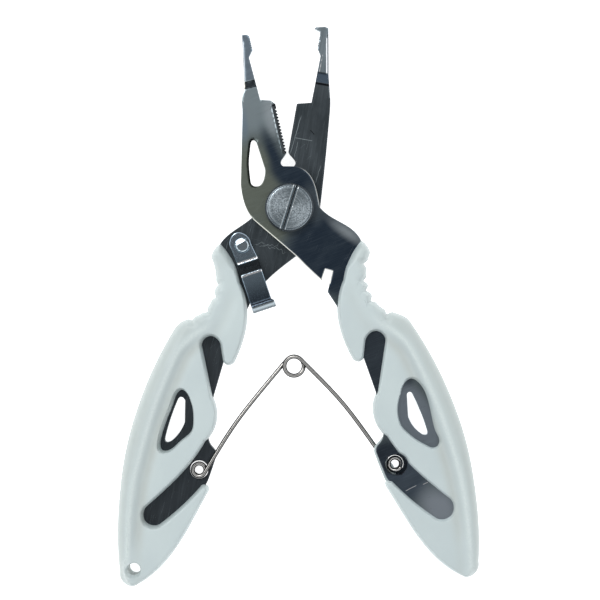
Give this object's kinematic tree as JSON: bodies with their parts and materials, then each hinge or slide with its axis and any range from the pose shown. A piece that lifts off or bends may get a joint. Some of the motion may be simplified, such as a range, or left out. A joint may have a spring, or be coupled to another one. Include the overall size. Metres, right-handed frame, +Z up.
{
  "type": "fishing pliers",
  "caption": "Compact fishing pliers with stepped pointed jaws, a ring-opening hook, serrated line cutter, moulded grips, wire return spring and swing-over lock latch.",
  "frame": {"origin": "on the pivot axis, in the rear face of the pivot nut", "axes": "+Y from the pivot to the jaw tips, +X to the right, +Z up from the surface the tool lies on"},
  "size_m": [0.0809, 0.1251, 0.0088],
  "materials": {
    "front_steel": "satin polished stamping with bright edges",
    "rear_steel": "dark satin with fine scratches",
    "latch_steel": "polished sheet with bright bends",
    "screw_steel": "turned rings",
    "spring_wire": "bright drawn wire",
    "grip_plastic": "pale satin moulding"
  },
  "bodies": {
    "left_half": {"rear_blade": "rear_steel", "left_grip": "grip_plastic", "pivot_screw": "screw_steel", "pivot_nut": "screw_steel", "latch_rivet": "screw_steel"},
    "right_half": {"front_blade": "front_steel", "right_grip": "grip_plastic"},
    "latch": {"lock_latch": "latch_steel"},
    "left_leg": {"spring_left": "spring_wire"},
    "right_leg": {"spring_right": "spring_wire"}
  },
  "joints": [
    {"name": "jaw_pivot", "type": "hinge", "parent": "left_half", "child": "right_half", "pos_m": [0, 0, 0.0045], "axis": [0, 0, 1], "range_deg": [-22.8, 0], "stiffness_Nm_per_rad": 0.3},
    {"name": "latch_swing", "type": "hinge", "parent": "left_half", "child": "latch", "pos_m": [-0.01053, -0.00837, 0.0048], "axis": [0, 0, 1], "range_deg": [0, 29]},
    {"name": "spring_left_eye", "type": "hinge", "parent": "left_half", "child": "left_leg", "pos_m": [-0.02022, -0.05855, 0.0044], "axis": [0, 0, 1], "range_deg": [0, 14.1]},
    {"name": "spring_coil", "type": "hinge", "parent": "left_leg", "child": "right_leg", "pos_m": [0.00105, -0.03537, 0.0044], "axis": [0, 0, 1], "range_deg": [-51.3, 0]}
  ],
  "couplings": [
    {"joint": "spring_left_eye", "follows": "jaw_pivot", "ratio": -0.614},
    {"joint": "spring_coil", "follows": "jaw_pivot", "ratio": 2.244}
  ]
}
